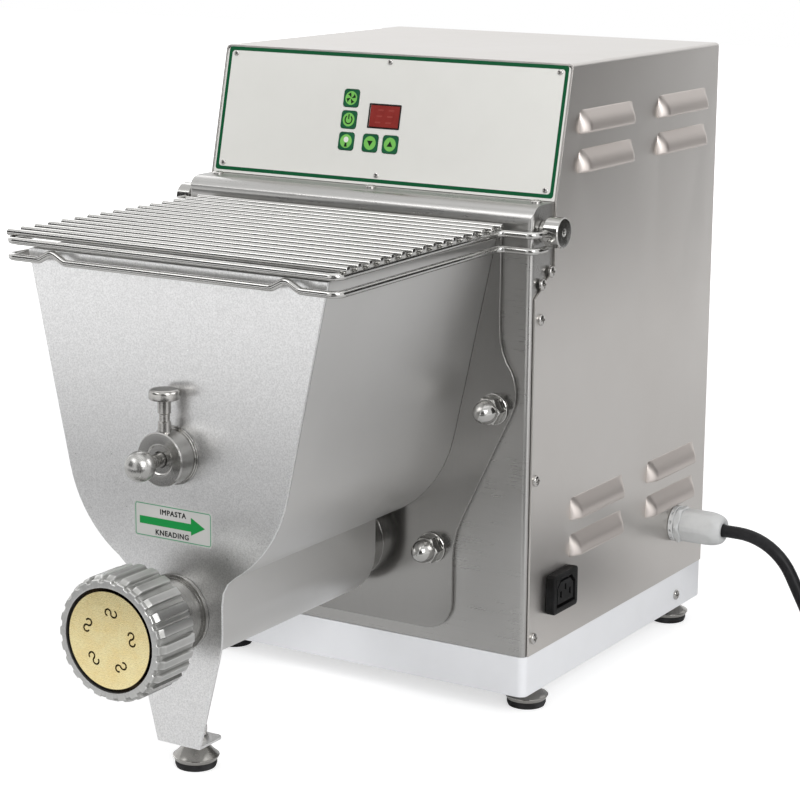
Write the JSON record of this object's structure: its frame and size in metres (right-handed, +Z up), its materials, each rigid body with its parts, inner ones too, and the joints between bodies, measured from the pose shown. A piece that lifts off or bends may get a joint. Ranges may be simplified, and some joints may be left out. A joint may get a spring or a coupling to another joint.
{
  "type": "pasta machine",
  "caption": "Countertop electric pasta machine with a sloped key panel, a hinged wire lid over a dough tub with a paddle mixer, and an auger barrel ending in a die and ring nut",
  "frame": {"origin": "middle of the machine's outline without its cord, on the surface that its five feet stand on", "axes": "+X to the side with the louvres and the cable gland, +Y from the die to the back panel, +Z up"},
  "size_m": [0.5626, 0.6798, 0.4735],
  "materials": {
    "painted_base": "smooth white paint",
    "brushed_sheet": "satin stainless sheet",
    "blasted_sheet": "fine bead-blasted stainless sheet",
    "turned_steel": "turned stainless steel",
    "panel_sheet": "off-white printed sheet",
    "red_lens": "clear red window",
    "key_green": "moulded key with a printed sign",
    "board_green": "lacquered circuit board",
    "black_plastic": "moulded black plastic",
    "grey_plastic": "moulded light grey nylon",
    "white_plastic": "moulded white can",
    "polished_nickel": "polished stainless or nickel plate",
    "black_rubber": "matt black rubber",
    "cast_alloy": "cast light alloy",
    "gear_steel": "machined gear steel",
    "die_brass": "turned die bronze",
    "black_cable": "black cable sheath and moulded plug"
  },
  "bodies": {
    "frame": {"base_tray": "painted_base", "chassis_front": "brushed_sheet", "housing_cover": "brushed_sheet", "back_panel": "brushed_sheet", "control_panel": "panel_sheet", "display_window": "red_lens", "control_board": "board_green", "power_outlet": "black_plastic", "cable_gland": "grey_plastic", "foot_front_left": "polished_nickel", "foot_front_right": "polished_nickel", "foot_back_left": "polished_nickel", "foot_back_right": "polished_nickel", "foot_pad_front_left": "black_rubber", "foot_pad_front_right": "black_rubber", "foot_pad_back_left": "black_rubber", "foot_pad_back_right": "black_rubber", "leg_foot": "polished_nickel", "leg_foot_pad": "black_rubber", "hinge_pin_right": "polished_nickel", "hinge_pin_left": "polished_nickel", "tub_front_plate": "blasted_sheet", "tub_shell": "brushed_sheet", "tub_rear_plate": "brushed_sheet", "auger_barrel": "turned_steel", "tub_stud_upper_left": "polished_nickel", "tub_stud_upper_right": "polished_nickel", "tub_stud_lower_left": "polished_nickel", "tub_stud_lower_right": "polished_nickel", "pivot_boss": "turned_steel", "gearmotor": "cast_alloy", "gear_carrier": "cast_alloy", "mixer_bearing": "turned_steel", "auger_bearing": "turned_steel", "mixer_seal": "black_rubber", "auger_seal": "black_rubber", "run_capacitor": "white_plastic", "cord_lead": "black_cable", "cord_coil": "black_cable", "cord_tail": "black_cable", "mains_plug": "black_cable"},
    "lid": {"lid_grille": "polished_nickel", "lid_guard_wire": "polished_nickel", "lid_hinge_boss_right": "polished_nickel", "lid_hinge_boss_left": "polished_nickel"},
    "mixer_rotor": {"mixer": "turned_steel", "mixer_drive_shaft": "turned_steel", "mixer_gear": "gear_steel"},
    "auger_rotor": {"auger": "turned_steel", "auger_gear": "gear_steel"},
    "motor_rotor": {"motor_pinion": "gear_steel"},
    "mixer_pin": {"pivot_pin": "turned_steel"},
    "lock": {"lock_pin": "polished_nickel"},
    "die": {"die_disc": "die_brass"},
    "nut": {"ring_nut": "cast_alloy"},
    "fan_key": {"key_fan": "key_green"},
    "power_key": {"key_power": "key_green"},
    "lamp_key": {"key_lamp": "key_green"},
    "down_key": {"key_down": "key_green"},
    "up_key": {"key_up": "key_green"}
  },
  "joints": [
    {"name": "lid_hinge", "type": "hinge", "parent": "frame", "child": "lid", "pos_m": [0, 0.0115, 0.359], "axis": [-1, 0, 0], "range_deg": [0, 100]},
    {"name": "mixer_turn", "type": "hinge", "parent": "frame", "child": "mixer_rotor", "pos_m": [0, 0, 0.226], "axis": [0, 1, 0], "continuous": true},
    {"name": "auger_turn", "type": "hinge", "parent": "frame", "child": "auger_rotor", "pos_m": [0, 0, 0.1167], "axis": [0, 1, 0], "continuous": true},
    {"name": "motor_turn", "type": "hinge", "parent": "frame", "child": "motor_rotor", "pos_m": [-0.06657, 0, 0.09247], "axis": [0, 1, 0], "continuous": true},
    {"name": "pivot_pin_pull", "type": "slide", "parent": "frame", "child": "mixer_pin", "axis": [0, -1, 0], "range_m": [0, 0.06]},
    {"name": "lock_pin_lift", "type": "slide", "parent": "frame", "child": "lock", "axis": [0, 0, 1], "range_m": [0, 0.03]},
    {"name": "die_draw", "type": "slide", "parent": "frame", "child": "die", "axis": [0, -1, 0], "range_m": [0, 0.06]},
    {"name": "ring_nut_turn", "type": "hinge", "parent": "die", "child": "nut", "pos_m": [0, -0.29, 0.1167], "axis": [0, 1, 0], "continuous": true},
    {"name": "fan_key_press", "type": "slide", "parent": "frame", "child": "fan_key", "axis": [0, 0.9744, -0.2249], "range_m": [0, 0.0008], "stiffness_N_per_m": 300},
    {"name": "power_key_press", "type": "slide", "parent": "frame", "child": "power_key", "axis": [0, 0.9744, -0.2249], "range_m": [0, 0.0008], "stiffness_N_per_m": 300},
    {"name": "lamp_key_press", "type": "slide", "parent": "frame", "child": "lamp_key", "axis": [0, 0.9744, -0.2249], "range_m": [0, 0.0008], "stiffness_N_per_m": 300},
    {"name": "down_key_press", "type": "slide", "parent": "frame", "child": "down_key", "axis": [0, 0.9744, -0.2249], "range_m": [0, 0.0008], "stiffness_N_per_m": 300},
    {"name": "up_key_press", "type": "slide", "parent": "frame", "child": "up_key", "axis": [0, 0.9744, -0.2249], "range_m": [0, 0.0008], "stiffness_N_per_m": 300}
  ],
  "couplings": [
    {"joint": "auger_turn", "follows": "mixer_turn", "ratio": -1.7},
    {"joint": "motor_turn", "follows": "mixer_turn", "ratio": 2.2667}
  ]
}
